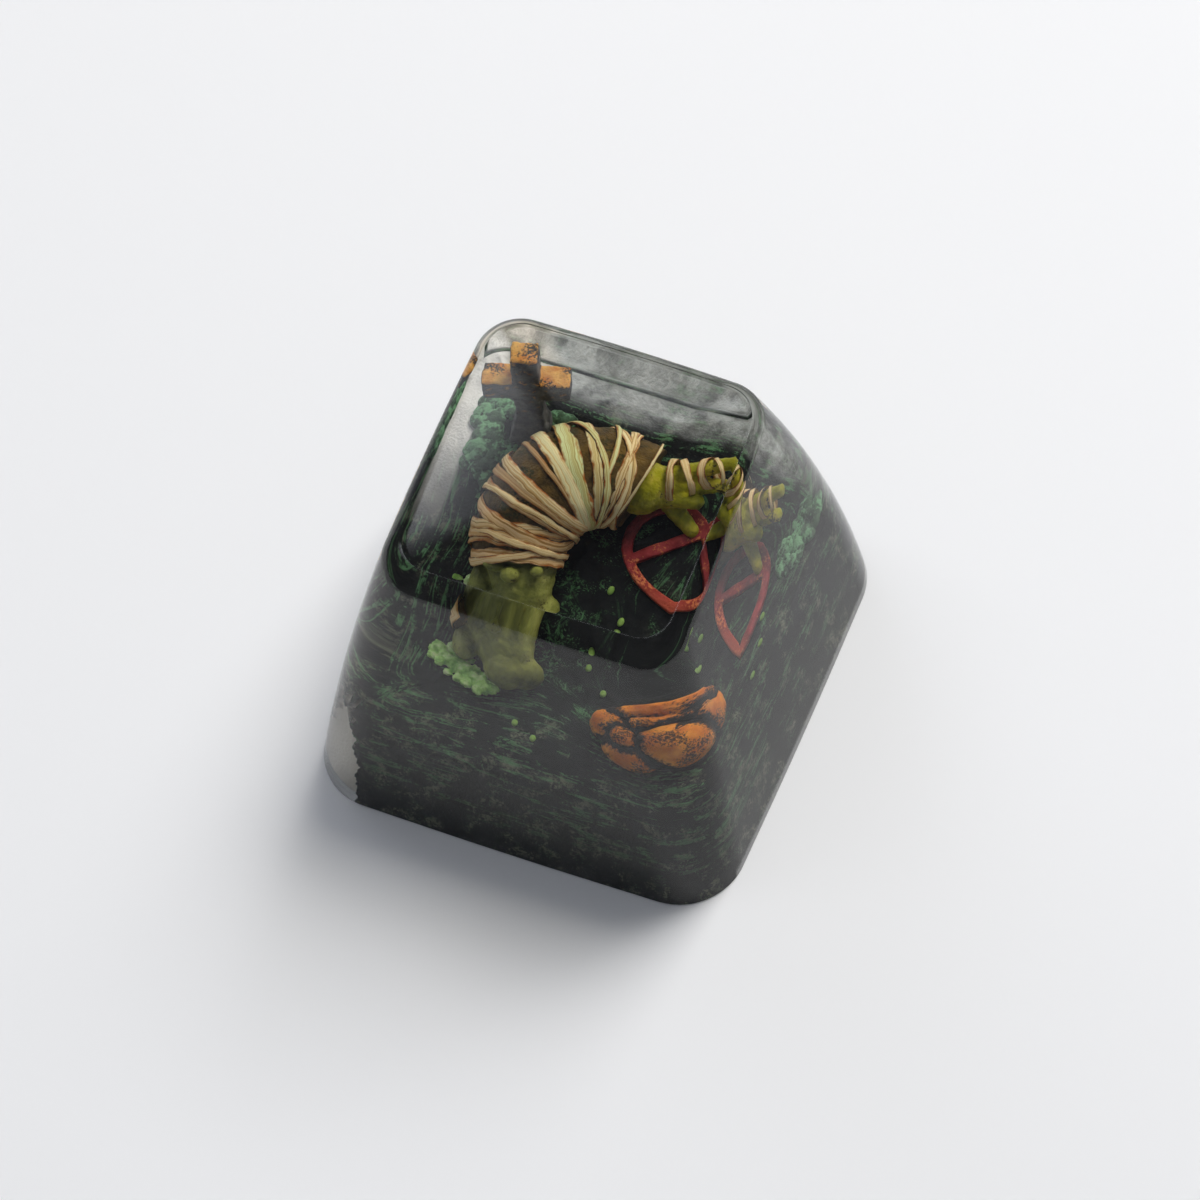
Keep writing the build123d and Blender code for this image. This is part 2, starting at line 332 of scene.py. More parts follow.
def new_paint(name, roughness, fineness, depth):
    """Start a painted finish: its material, the place on the piece, and the tone of the mottling there."""
    material = new_material(name, {"Roughness": roughness})
    place = millimetres(material)
    inputs = {"Vector": place, "Fineness": fineness}
    mottling = add_node(material.node_tree, "ShaderNodeGroup", inputs, node_tree=mottle).outputs
    if depth:
        raise_grain(mottling["Grain"], depth)
    return material, place, mottling["Tone"]


def specked(place, fineness, cut):
    """A mask of specks: a high fineness makes them small, and a high cut leaves few of them."""
    return flow("ShaderNodeGroup", {"Vector": place, "Fineness": fineness, "Cut": cut}, node_tree=specks)


def coat(colour):
    """End a painted finish with its colour."""
    feed(colour, colour.id_data.nodes["Principled BSDF"].inputs["Base Color"])


# %% [markdown]
# ## The form of the cap
#
# The walls of the cap lean in, each by its own angle, and they swell a little, because the master was sanded
# by hand. The top slopes towards the typist and is slightly dished. One function gives a point on the wall at
# any height, drawn in by any amount, so the clear shell and the dark ground share the same walls.

# %% Outline of the cap
BASE_HALF = 9.0
SIDE_LEAN, SIDE_SWELL = 0.148, 0.006
FRONT_LEAN, FRONT_SWELL = 0.303, 0.005
BACK_SWELL = 0.009
CORNER_LOW, CORNER_HIGH = 2.65, 1.82
EDGE_BOW = 0.06
TOP_HEIGHT, TOP_SLOPE = 12.618, tan(radians(5.95))
EDGE_POINTS, CORNER_POINTS = 32, 40
RING_REPEATS = 6
CORNERS = ((1, 1), (-1, 1), (-1, -1), (1, -1))
PLACES = []
for quarter in range(4):
    PLACES += [(quarter, step / CORNER_POINTS, 0.0) for step in range(CORNER_POINTS)]
    PLACES += [(quarter, 1.0, step / EDGE_POINTS) for step in range(EDGE_POINTS)]


def limited(value):
    """A value kept from 0 to 1."""
    return min(1.0, max(0.0, value))


def circle(points, start=0.0):
    """The cosines and sines of even steps round a circle."""
    angles = [start + 2 * pi * step / points for step in range(points)]
    return [(cos(angle), sin(angle)) for angle in angles]


def rounded_point(place, half, front, back, radius, bow=0.0):
    """A point on a rounded rectangle: in a corner, or some way along the edge after it."""
    quarter, turn, along = place
    angle = radians(90 * (quarter + turn))
    ends = []
    for side, way in (CORNERS[quarter], CORNERS[(quarter + 1) % 4]):
        ends.append(Vector((side * (half - radius), back - radius if way > 0 else front + radius)))
    outward = Vector((cos(angle), sin(angle)))
    return ends[0].lerp(ends[1], along) + outward * (radius + bow * sin(pi * along))


def wall_point(place, height, inset):
    """A point on the cap's wall at a height, drawn in by inset."""
    half = BASE_HALF - SIDE_LEAN * height - SIDE_SWELL * height**2 - inset
    front = -BASE_HALF + FRONT_LEAN * height + FRONT_SWELL * height**2 + inset
    back = BASE_HALF - BACK_SWELL * height**2 - inset
    radius = CORNER_LOW + (CORNER_HIGH - CORNER_LOW) * height / TOP_HEIGHT - inset
    return rounded_point(place, half, front, back, radius, EDGE_BOW)


def top_at(y):
    """Height of the cap's top plane."""
    return TOP_HEIGHT + TOP_SLOPE * y


def wall_ring(height_rule, inset_rule):
    """A ring on the wall, whose height and inset follow rules of its place."""
    ring = []
    for place in PLACES:
        height, inset = TOP_HEIGHT / 2, 0.0
        for repeat in range(RING_REPEATS):
            x, y = wall_point(place, height, inset)
            height, inset = height_rule(x, y), inset_rule(x, y)
        ring.append(Vector((x, y, height)))
    return ring


def level_ring(height, half, radius):
    """A level rounded square, for the hollow below."""
    return [Vector((*rounded_point(place, half, -half, half, radius), height)) for place in PLACES]


print("points round the cap:", len(PLACES))

# %% [markdown]
# ## Clear resin
#
# The shell is one closed skin: from a ceiling that is buried in the dark ground, down the hollow's lip, round
# the rim, up the walls, over the rounded edge and across the dished top. A clear solid has to be closed, or
# light would not know when it is inside. It needs no inner walls where the painted pieces are: they simply lie
# in it, which keeps the surface free of any edge that isn't on the real cap.

# %% Clear shell
FRONT_ROUND, BACK_ROUND, ROUND_TURN = 0.8, 0.45, radians(78)
ROUND_START, ROUND_SPAN = -4, 9
DISH_DEPTH, DISH_LEAN = 0.42, 0.04
RIM, BURIED = 0.05, 0.08
HOLLOW_HALF, HOLLOW_DRAFT, HOLLOW_CORNER = 7.3, tan(radians(3)), 1.0
HOLLOW_HEIGHT = 4.0
WALL_RINGS, ROUND_RINGS, TOP_RINGS = 26, 24, 36


def edge_round(y):
    """Radius of the top edge, which is softer at the front."""
    return FRONT_ROUND + (BACK_ROUND - FRONT_ROUND) * limited((y - ROUND_START) / ROUND_SPAN)


def hollow_half(height):
    """Half the width of the hollow under the cap."""
    return HOLLOW_HALF - HOLLOW_DRAFT * height


rings = [
    level_ring(HOLLOW_HEIGHT + BURIED, hollow_half(HOLLOW_HEIGHT) + BURIED, HOLLOW_CORNER),
    level_ring(RIM + BURIED, hollow_half(RIM) + BURIED, HOLLOW_CORNER),
    level_ring(RIM, hollow_half(RIM), HOLLOW_CORNER),
    level_ring(0, HOLLOW_HALF, HOLLOW_CORNER),
    wall_ring(lambda x, y: 0, lambda x, y: RIM),
]
for share in shares(WALL_RINGS):
    rings.append(wall_ring(lambda x, y: RIM + share * (top_at(y) - edge_round(y) - RIM), lambda x, y: 0))
for share in shares(ROUND_RINGS)[1:]:
    fall, draw = 1 - sin(ROUND_TURN * share), 1 - cos(ROUND_TURN * share)
    rings.append(wall_ring(lambda x, y: top_at(y) - edge_round(y) * fall, lambda x, y: edge_round(y) * draw))
top_edge = rings[-1]
top_middle = sum(top_edge, Vector()) / len(top_edge)
for share in shares(TOP_RINGS)[1:-1]:
    ring = [point.lerp(top_middle, share) for point in top_edge]
    dips = [DISH_DEPTH * (1 - (1 - share) ** 2) * (1 + DISH_LEAN * (point.y - top_middle.y)) for point in ring]
    rings.append([point - Vector((0, 0, dip)) for point, dip in zip(ring, dips)])
dish_bottom = top_middle - Vector((0, 0, DISH_DEPTH))
resin = skin_of("resin_shell", rings, (0, 0, HOLLOW_HEIGHT + BURIED), dish_bottom)

# %% [markdown]
# The finish is what makes it resin. It lets light through and bends it, by an index of 1.52, and it takes a
# very little of it away. Lamps reach the pieces inside through a plain see-through side that only shadow rays
# meet, so the painted pieces are lit cleanly and the cap still throws a soft grey shadow.

# %% Resin finish
RESIN_INDEX = 1.52
clear_finish = new_material(
    "clear_resin",
    {"Base Color": srgb(250, 251, 249), "Roughness": 0.0, "IOR": RESIN_INDEX, "Transmission Weight": 1.0},
)
tree = clear_finish.node_tree
shadow_ray = add_node(tree, "ShaderNodeLightPath").outputs["Is Shadow Ray"]
see_through = add_node(tree, "ShaderNodeBsdfTransparent", {"Color": srgb(216, 215, 212)}).outputs["BSDF"]
bending = tree.nodes["Principled BSDF"].outputs["BSDF"]
both = flow("ShaderNodeMixShader", {0: shadow_ray, 1: bending, 2: see_through})
feed(both, tree.nodes["Material Output"].inputs["Surface"])
finish_piece(resin, clear_finish, "clear_resin")

# %% [markdown]
# ## Dark ground
#
# The ground is a dark pour with a rough top, a mound under the cross, and a front corner that the pour missed.
# It is also the underside of the cap, with the hollow and the stem. The skin runs from the bottom of the cross
# socket out to the walls and back over the top, all in one row of rings. Each point remembers how far along the
# skin it lies, for the bands of paint, and how much the pour missed it, for the pale painted light that stands
# for light coming through the clear corner there.

# %% Ground form
SKIN, FOOT_SKIN = 0.12, 0.03
GROUND_FRONT, GROUND_BACK = 4.8, 6.0
LIP_HEIGHT, LIP_REACH = 3.4, 3.0
MOUND_RADIUS, MOUND_RISE = 11.0, 0.8
CROSS_X, CROSS_Y = -3.95, 5.15
CLOD_HEIGHT, CLOD_PITCH = 0.07, 0.8
FURROW_HEIGHT, FURROW_PITCH, FURROW_SHARPNESS = 0.12, 1.3, 8
STEM_RADIUS, STEM_END = 2.8, 0.4
SOCKET_HALF, SOCKET_X, SOCKET_Y, SOCKET_DEPTH = 2.05, 0.65, 0.6, 3.6
MISSED_CORNER = Vector((-BASE_HALF, -BASE_HALF))
MISSED_LOW, MISSED_HIGH, MISSED_TOP = 2.6, 1.5, 5.6
MISSED_DEPTH, MISSED_EDGE, MISSED_RAGS, MISSED_FINENESS = 0.75, 0.15, 0.3, 1.8
GROUND_WALL_RINGS, GROUND_TOP_RINGS = 60, 70


def slope_height(y):
    """Height of the plain slope from front to back."""
    return GROUND_FRONT + (GROUND_BACK - GROUND_FRONT) * (y / (2 * BASE_HALF) + 0.5)


def ground_height(x, y):
    """The smooth height of the ground: a slope with a lip at the front, and a mound under the cross."""
    slope = slope_height(y)
    beyond = LIP_REACH - BASE_HALF - y
    if beyond > 0:
        edge = slope_height(LIP_REACH - BASE_HALF)
        slope = edge + (LIP_HEIGHT - edge) * beyond / LIP_REACH
    mound = slope_height(CROSS_Y) + MOUND_RISE - MOUND_RADIUS
    reach = hypot(x - CROSS_X, y - CROSS_Y)
    if reach < MOUND_RADIUS:
        mound += (MOUND_RADIUS**2 - reach**2) ** 0.5
    return max(slope, mound)


def rough_ground(x, y):
    """The ground with its clods and furrows."""
    place = Vector((x, y, 0))
    clods = CLOD_HEIGHT * noise.fractal(place / CLOD_PITCH, 0.7, 2.0, 4)
    furrows = FURROW_HEIGHT * (1 - abs(noise.noise(place / FURROW_PITCH))) ** FURROW_SHARPNESS
    return ground_height(x, y) + clods + furrows


def missed(point):
    """How far the pour falls short of the wall near the missed corner."""
    reach = MISSED_LOW + (MISSED_HIGH - MISSED_LOW) * limited(point.z / MISSED_TOP)
    reach += MISSED_RAGS * noise.fractal(point * MISSED_FINENESS, 0.6, 2.0, 3)
    lean = Vector((SIDE_LEAN, FRONT_LEAN)) * point.z
    inside = reach - MISSED_RAGS - (point.xy - MISSED_CORNER - lean).length
    return MISSED_DEPTH * limited(inside / MISSED_EDGE)


def poured_ring(height_rule):
    """A ring of the pour's wall, and how far each point falls short of the wall."""
    ring = wall_ring(height_rule, lambda x, y: FOOT_SKIN + (SKIN - FOOT_SKIN) * min(1.0, height_rule(x, y)))
    gaps = [missed(point) for point in ring]
    return [point - Vector((*point.xy.normalized(), 0)) * gap for point, gap in zip(ring, gaps)], gaps


def socket_ring(height):
    """The cross-shaped outline of the stem's socket, from its inner corner round."""
    corners = []
    for turn, (near, far) in enumerate(((SOCKET_Y, SOCKET_X), (SOCKET_X, SOCKET_Y)) * 2):
        spin = Matrix.Rotation(turn * pi / 2, 2)
        corners += [spin @ Vector(corner) for corner in ((near, far), (near, SOCKET_HALF), (-near, SOCKET_HALF))]
    steps = len(PLACES) // len(corners)
    ring = []
    for here, corner in enumerate(corners):
        after = corners[(here + 1) % len(corners)]
        ring += [Vector((*corner.lerp(after, step / steps), height)) for step in range(steps)]
    return ring


def stem_ring(height):
    """A circle round the stem."""
    return [Vector((STEM_RADIUS * x, STEM_RADIUS * y, height)) for x, y in circle(len(PLACES), pi / 4)]


def set_values(data, name, values):
    """Store one number for each vertex of a mesh."""
    data.attributes.new(name, "FLOAT", "POINT").data.foreach_set("value", values)


rings = [
    socket_ring(STEM_END + SOCKET_DEPTH),
    socket_ring(STEM_END),
    stem_ring(STEM_END),
    stem_ring(HOLLOW_HEIGHT),
    level_ring(HOLLOW_HEIGHT, hollow_half(HOLLOW_HEIGHT), HOLLOW_CORNER),
    level_ring(FOOT_SKIN, hollow_half(FOOT_SKIN), HOLLOW_CORNER),
]
# The second list holds how much the pour missed each point, where the pale painted light goes.
lit_gap_values = [0.0] * len(rings) * len(PLACES)
run_values = [0.0] * len(rings) * len(PLACES)
for share in shares(GROUND_WALL_RINGS):
    ring, gaps = poured_ring(lambda x, y: FOOT_SKIN + share * (ground_height(x, y) - FOOT_SKIN))
    rings.append(ring)
    run_values += [point.z for point in ring]
    lit_gap_values += [gap / MISSED_DEPTH for gap in gaps]
ground_edge = rings[-1]
for share in shares(GROUND_TOP_RINGS)[1:-1]:
    inner = [point.xy * (1 - share) for point in ground_edge]
    rings.append([Vector((x, y, rough_ground(x, y))) for x, y in inner])
    run_values += [rim.z + (rim.xy - point).length for rim, point in zip(ground_edge, inner)]
    lit_gap_values += [0.0] * len(PLACES)
ground = skin_of("dark_ground", rings, (0, 0, STEM_END + SOCKET_DEPTH), (0, 0, rough_ground(0, 0)))
set_values(ground.data, "run", run_values + [2 * BASE_HALF, 0.0])
set_values(ground.data, "bare", lit_gap_values + [0.0, 0.0])

# %% [markdown]
# The pour is nearly black. Green paint was brushed over it, and it caught on roots and grain in thin, feathery
# strokes. Such a stroke is where a cloudy noise passes through its middle value: a line that is never straight
# and never even. Near the walls the strokes follow the walls, because the pour dried in bands, so that noise
# takes the distance along the skin as a fourth direction. Painted light lies on the strip at the back, in the
# back corner and along the left margin: a pale glow for the bright floor seen through the clear resin there.
# The corner that the pour missed is painted pale too, as painted light coming through the clear corner.

# %% Ground finish


def thin_line(value, width):
    """A mask that is 1 where a noise passes through its middle value, and fades over a width."""
    return between(maths("ABSOLUTE", maths("SUBTRACT", value, 0.5)), width, 0.0)


ground_finish, place, tone = new_paint("dark_ground", roughness=0.6, fineness=2.4, depth=0.05)
side, back = axes(place)["X"], axes(place)["Y"]
run = attribute(place, "run")
spots = specked(place, fineness=8.0, cut=0.25)
broken = specked(place, fineness=1.1, cut=0.255)
dabs = specked(place, fineness=7.0, cut=0.2)

base = ramp(tone, (0.42, srgb(6, 7, 7)), (0.62, srgb(20, 22, 21)))
dust = product(between(cloud(place, 13.0, 2.0), 0.58, 0.66), broken)
dusted = mixed(dust, base, srgb(84, 116, 84))
damp = between(cloud(place, 1.7, 5.0, 0.68), 0.47, 0.6)
mould = product(damp, spots, between(run, 10.0, 6.0))
moulded = mixed(mould, dusted, srgb(114, 118, 98))

spread = vector_maths("SCALE", place, 0.2)
level = product(run, 2.2)
inputs = {"Vector": spread, "W": level, "Scale": 1.0, "Detail": 4.0, "Roughness": 0.5}
bands = flow("ShaderNodeTexNoise", inputs, noise_dimensions="4D")
near_wall = product(between(run, 0.8, 3.0), between(run, 12.0, 8.5))
veined = mixed(product(thin_line(bands, 0.026), dabs, near_wall), moulded, srgb(92, 138, 94))

bend = vector_maths("SCALE", cloud(place, 0.45, 2.0, output="Color"), 3.0)
feathers = cloud(vector_maths("ADD", place, bend), 0.55, 6.0, 0.62)
stroke = product(thin_line(feathers, 0.03), broken, spots, between(run, 7.0, 10.0))
feathered = mixed(stroke, veined, srgb(88, 134, 88))

# Painted light: the strip at the back and the back left corner are painted pale, grey and warm, for the bright
# floor seen through the clear resin there.
on_top = between(run, 5.5, 6.1)
corner = between(maths("SUBTRACT", back, side), 12.2, 13.6)
rear = maths("MAXIMUM", between(back, 6.9, 7.9), corner)
backlight_glow = product(rear, on_top, between(cloud(place, 0.8, 5.0, 0.65), 0.3, 0.62))
with_backlight_glow = mixed(backlight_glow, feathered, mixed(corner, srgb(190, 194, 192), srgb(244, 236, 222)))
# Painted light: the left margin of the top is painted near white, for the bright floor seen through the clear left
# wall.
margin_glow = product(between(side, -6.2, -6.4), between(back, 0.0, 4.2), on_top)
with_margin_glow = mixed(margin_glow, with_backlight_glow, srgb(250, 248, 242))
# Painted light: the corner that the pour missed is painted pale, for the light that comes through the clear
# corner.
coat(mixed(attribute(place, "bare"), with_margin_glow, srgb(240, 234, 222)))
finish_piece(ground, ground_finish, "ground_base")

# %% [markdown]
# ## Wrapped figure: the body
#
# A body lies curled on the ground, thick in the middle. It follows an arc, so a row of rings along that arc
# gives its form, and a little noise takes away the look of a pipe.

# %% Body
CURL = Vector((1.0, 0.6))
CURL_RADIUS = 3.35
CURL_START, CURL_END = 205.0, 80.0
HEAD_GIRTH, MIDDLE_GIRTH, ARM_GIRTH = 1.7, 2.25, 1.85
BODY_SINK = 0.3
BODY_RINGS, BODY_SIDES = 60, 40
NEAR = 0.01


def girth_at(share):
    """Radius of the body along the curl."""
    ends = HEAD_GIRTH * (1 - share) + ARM_GIRTH * share
    return ends + (MIDDLE_GIRTH - ends) * sin(pi * limited(share))


def curl_point(share):
    """Centre of the body along the curl."""
    angle = radians(CURL_START + (CURL_END - CURL_START) * share)
    x, y = CURL + CURL_RADIUS * Vector((cos(angle), sin(angle)))
    return Vector((x, y, ground_height(x, y) + girth_at(share) - BODY_SINK))


def heading(path, share):
    """The direction of a path at a share of its length."""
    return (path(share + NEAR) - path(share - NEAR)).normalized()


rings = []
for share in shares(BODY_RINGS):
    middle, along = curl_point(share), heading(curl_point, share)
    across = along.cross(Vector((0, 0, 1))).normalized()
    upward = across.cross(along)
    rings.append([middle + (across * x + upward * y) * girth_at(share) for x, y in circle(BODY_SIDES)])
body = skin_of("figure_body", rings, curl_point(0), curl_point(1))
ripple(body, depth=0.07, pitch=0.8)

body_finish, place, tone = new_paint("old_cloth", roughness=0.65, fineness=1.2, depth=0.08)
base = ramp(tone, (0.35, srgb(62, 48, 20)), (0.7, srgb(126, 98, 46)))
coat(mixed(specked(place, fineness=6.0, cut=0.3), base, srgb(60, 56, 24)))
finish_piece(body, body_finish, "wrapped_figure")

# %% [markdown]
# ## Wrapped figure: the strips
#
# Torn strips of cloth go round and round the body. They repeat along a path, each with its own slant, width
# and tone, which is a task for Geometry Nodes: a point on the path for each turn, a ring of cloth on each
# point, and a noise that waves the cloth and tears its edges, so that no two look alike. Each ring remembers
# how far across the strip a point lies, for the threads.

# %% Strip tree
STRIP_STEPS, STRIP_PARTS = 96, 8
STRIP_THICKNESS, STRIP_DEPTH = 0.02, 0.04


def strip_ring():
    """One turn of cloth round a body of radius 1, a unit wide and almost flat."""
    profile = [(share - 0.5, STRIP_THICKNESS * (1 - (2 * share - 1) ** 4)) for share in shares(STRIP_PARTS)]
    profile += [(across, -STRIP_DEPTH) for across, rise in reversed(profile)]
    shape = bmesh.new()
    rings = []
    for x, y in circle(STRIP_STEPS):
        rings.append([Vector(((1 + rise) * x, (1 + rise) * y, across)) for across, rise in profile])
    rows = loft(shape, rings)
    for here, vertex in enumerate(rows[-1]):
        after = (here + 1) % len(profile)
        shape.faces.new((vertex, rows[-1][after], rows[0][after], rows[0][here]))
    ring = shape_object("strip_ring", shape)
    set_values(ring.data, "thread", [vertex.co.z for vertex in ring.data.vertices])
    return ring


sockets = {"Turns": "Geometry", "Ring": "Object", "Ripple": "Float", "Raggedness": "Float", "Finish": "Material"}
strips, given, leaving = new_tree("bandage strips", "Geometry", sockets, {"Strips": "Geometry"})


def named(name, kind="FLOAT"):
    """Read an attribute that each turn of cloth carries."""
    return add_node(strips, "GeometryNodeInputNamedAttribute", {"Name": name}, data_type=kind).outputs[0]


points = flow("GeometryNodeMeshToPoints", {"Mesh": given["Turns"]})
upright = flow("FunctionNodeAlignRotationToVector", {"Vector": named("along", "FLOAT_VECTOR")}, axis="Z")
slanted = flow("FunctionNodeEulerToRotation", {"Euler": named("slant", "FLOAT_VECTOR")})
inputs = {"Rotation": upright, "Rotate By": slanted}
rotation = flow("FunctionNodeRotateRotation", inputs, rotation_space="LOCAL")
scale = flow("ShaderNodeCombineXYZ", {"X": named("girth"), "Y": named("girth"), "Z": named("width")})
cloth = add_node(strips, "GeometryNodeObjectInfo", {"Object": given["Ring"]}).outputs["Geometry"]
inputs = {"Points": points, "Instance": cloth, "Rotation": rotation, "Scale": scale}
placed = flow("GeometryNodeInstanceOnPoints", inputs)
real = flow("GeometryNodeRealizeInstances", {"Geometry": placed})
where = add_node(strips, "GeometryNodeInputPosition").outputs["Position"]
waves = vector_maths("SUBTRACT", cloud(where, 0.7, 1.0, output="Color"), (0.5, 0.5, 0.5))
tears = maths("SUBTRACT", cloud(where, 1.4, 3.0), 0.5)
pull = product(tears, given["Raggedness"], named("thread"), named("width"))
rippled = vector_maths("SCALE", waves, given["Ripple"])
offset = vector_maths("ADD", rippled, vector_maths("SCALE", named("along", "FLOAT_VECTOR"), pull))
torn = flow("GeometryNodeSetPosition", {"Geometry": real, "Offset": offset})
painted = flow("GeometryNodeSetMaterial", {"Geometry": torn, "Material": given["Finish"]})
feed(painted, leaving["Strips"])


def run_tree(name, mesh, tree, values):
    """Run a node tree on a mesh with named values, and keep the plain mesh that it makes."""
    thing = new_object(name, mesh)
    modifier = thing.modifiers.new(tree.name, "NODES")
    modifier.node_group = tree
    for item in tree.interface.items_tree:
        if item.in_out == "INPUT" and item.name in values:
            modifier[item.identifier] = values[item.name]
    return settle(thing)


def turns_mesh(name, path, girth, turns):
    """A point for each turn of cloth on a path. It carries how the turn lies: share, width, slants, lift, tone."""
    mesh = bpy.data.meshes.new(name)
    mesh.from_pydata([path(turn[0]) for turn in turns], [], [])
    along = [heading(path, turn[0]) for turn in turns]
    slants = [Vector((radians(turn[2]), radians(turn[3]), 0)) for turn in turns]
    for label, values in (("along", along), ("slant", slants)):
        made = mesh.attributes.new(label, "FLOAT_VECTOR", "POINT")
        made.data.foreach_set("vector", [part for value in values for part in value])
    set_values(mesh, "girth", [girth(turn[0]) * turn[4] for turn in turns])
    set_values(mesh, "width", [turn[1] for turn in turns])
    set_values(mesh, "tone", [turn[5] for turn in turns])
    return mesh


# %% [markdown]
# The cloth is cream, with streaks along each strip and brown, frayed edges. Near the head the strips are
# straw-like and lie close; farther on they are wider apart and show the brown body between them.

# %% Strips
strip_finish = new_material("torn_strips", {"Roughness": 0.5})
place = millimetres(strip_finish)
thread, tone = attribute(place, "thread"), attribute(place, "tone")
across = maths("ADD", thread, product(cloud(place, 0.7, 2.0), 0.9))
lines = flow("ShaderNodeCombineXYZ", {"X": across, "Y": product(tone, 37.0)})
threads = cloud(lines, 6.0, 4.0, 0.7)
pale = ramp(
    threads,
    (0.32, srgb(128, 88, 44)),
    (0.44, srgb(224, 192, 126)),
    (0.56, srgb(255, 246, 208)),
    (0.72, srgb(190, 186, 130)),
)
tint = ramp(
    tone,
    (0.0, (0.42, 0.27, 0.17, 1)),
    (0.3, (0.92, 0.72, 0.55, 1)),
    (0.6, (1.0, 0.94, 0.8, 1)),
    (1.0, (0.78, 0.95, 0.7, 1)),
)
cloth = mixed(1.0, pale, tint, "MULTIPLY")
away = maths("ABSOLUTE", thread)
stain = between(product(away, cloud(place, 2.2, 3.0)), 0.14, 0.25)
stained = mixed(stain, cloth, srgb(176, 104, 40))
coat(mixed(between(away, 0.45, 0.5), stained, srgb(58, 38, 18)))
raise_grain(threads, 0.04)

ring = strip_ring()
BODY_TURNS = (
    (0.02, 0.62, -5, 6, 1.05, 0.3),
    (0.05, 0.36, 9, -9, 1.07, 0.42),
    (0.09, 0.7, -8, 3, 1.04, 0.28),
    (0.13, 0.3, 4, 12, 1.08, 0.5),
    (0.17, 0.6, 10, -6, 1.05, 0.34),
    (0.21, 0.5, -7, -10, 1.06, 0.4),
    (0.25, 0.55, 5, 8, 1.04, 0.3),
    (0.29, 0.28, -12, 6, 1.08, 0.55),
    # The turns with a tone near 0.1, from 0.32 to 0.47 along the body, come out dark brown: painted shade on the
    # ribs at the left of the body.
    (0.32, 0.3, 0, 4, 1.04, 0.12),
    (0.36, 0.26, -3, 2, 1.05, 0.16),
    (0.39, 0.22, 2, -3, 1.04, 0.1),
    (0.43, 0.5, 6, -6, 1.05, 0.48),
    (0.47, 0.22, -4, 4, 1.03, 0.12),
    (0.51, 0.58, -3, 5, 1.04, 0.66),
    (0.6, 0.72, 7, -3, 1.05, 0.95),
    (0.64, 0.3, -10, 10, 1.07, 0.9),
    (0.69, 0.5, 3, -7, 1.04, 0.72),
    (0.74, 0.24, 16, 3, 1.08, 0.85),
    (0.78, 0.44, -6, 5, 1.04, 0.58),
    (0.84, 0.36, 5, 6, 1.05, 0.52),
    (0.9, 0.3, -4, -5, 1.05, 0.56),
    (0.96, 0.14, 4, 6, 1.06, 0.62),
)
wraps = run_tree(
    "figure_wraps",
    turns_mesh("body_turns", curl_point, girth_at, BODY_TURNS),
    strips,
    {"Ring": ring, "Ripple": 0.2, "Raggedness": 1.2, "Finish": strip_finish},
)
finish_piece(wraps, strip_finish)

# %% [markdown]
# ## Wrapped figure: head, arm and hand
#
# What the strips leave bare is olive green. A head with a blunt muzzle sinks to the ground at the front, and
# a hand with stubby fingers reaches to the right. Both are heaps of balls and rolls, melted together.

# %% Head and hand
NECK, MUZZLE = Vector((0.05, 0.3, 0)), Vector((0.6, -1.0, -0.35))
HEAD_LUMPS = (
    ((0.8, -1.85, -0.6), 0.95, (1, 1, 1)),
    ((1.5, -1.5, -0.8), 0.8, (1, 1, 1)),
    ((-1.05, -0.9, -0.6), 0.75, (0.8, 1.4, 1.0)),
    ((-0.7, -0.75, 1.15), 0.42, (1.2, 0.7, 0.8)),
    ((0.15, -1.0, 1.2), 0.4, (1, 1, 1)),
    ((1.1, -0.5, 1.2), 0.28, (1, 1, 1)),
)
WRIST = (3.3, 4.5, 7.1)
FINGERS = (
    ((2.7, 4.7, 7.55), (5.0, 5.8, 8.0), 0.42, 0.28),
    ((3.1, 4.4, 7.2), (5.2, 5.0, 7.55), 0.4, 0.3),
    ((2.7, 3.8, 7.1), (4.1, 3.95, 7.3), 0.44, 0.3),
    ((2.9, 3.8, 6.5), (4.2, 3.1, 6.2), 0.44, 0.32),
)
head_end, arm_end = curl_point(0), curl_point(1)
skin_shape = bmesh.new()
roll(skin_shape, head_end + NECK, head_end + MUZZLE, 1.5, 1.2)
for place, radius, stretch in HEAD_LUMPS:
    ball(skin_shape, head_end + Vector(place), radius, stretch)
roll(skin_shape, arm_end, WRIST, 1.15, 0.5)
for finger in FINGERS:
    roll(skin_shape, *finger)
skin = clay("figure_skin", skin_shape, grain=0.06, smoothing=5)
ripple(skin, depth=0.04, pitch=0.5)

skin_finish, place, tone = new_paint("olive_skin", roughness=0.45, fineness=0.9, depth=0.04)
dull = ramp(tone, (0.35, srgb(96, 100, 40)), (0.52, srgb(138, 142, 66)), (0.68, srgb(170, 170, 92)))
bright = ramp(tone, (0.35, srgb(112, 112, 8)), (0.52, srgb(164, 160, 24)), (0.68, srgb(196, 180, 64)))
limb = mixed(between(axes(place)["Y"], 0.5, 2.5), dull, bright)
coat(mixed(specked(place, fineness=6.0, cut=0.36), limb, srgb(84, 80, 24)))
finish_piece(skin, skin_finish)

# %% Strips on the arm
FINGER_TIP = Vector((5.0, 5.6, 7.9))
ARM_THICK, ARM_TAPER = 1.17, 0.68
ARM_TURNS = (
    (0.35, 0.34, 10, 8, 0.98, 0.55),
    (0.5, 0.3, -14, 6, 0.98, 0.5),
    (0.74, 0.42, 16, -12, 1.04, 0.42),
    (0.84, 0.2, -20, 10, 1.02, 0.6),
)


def arm_point(share):
    """A point on the way from the body to the finger tips."""
    return arm_end.lerp(FINGER_TIP, share)


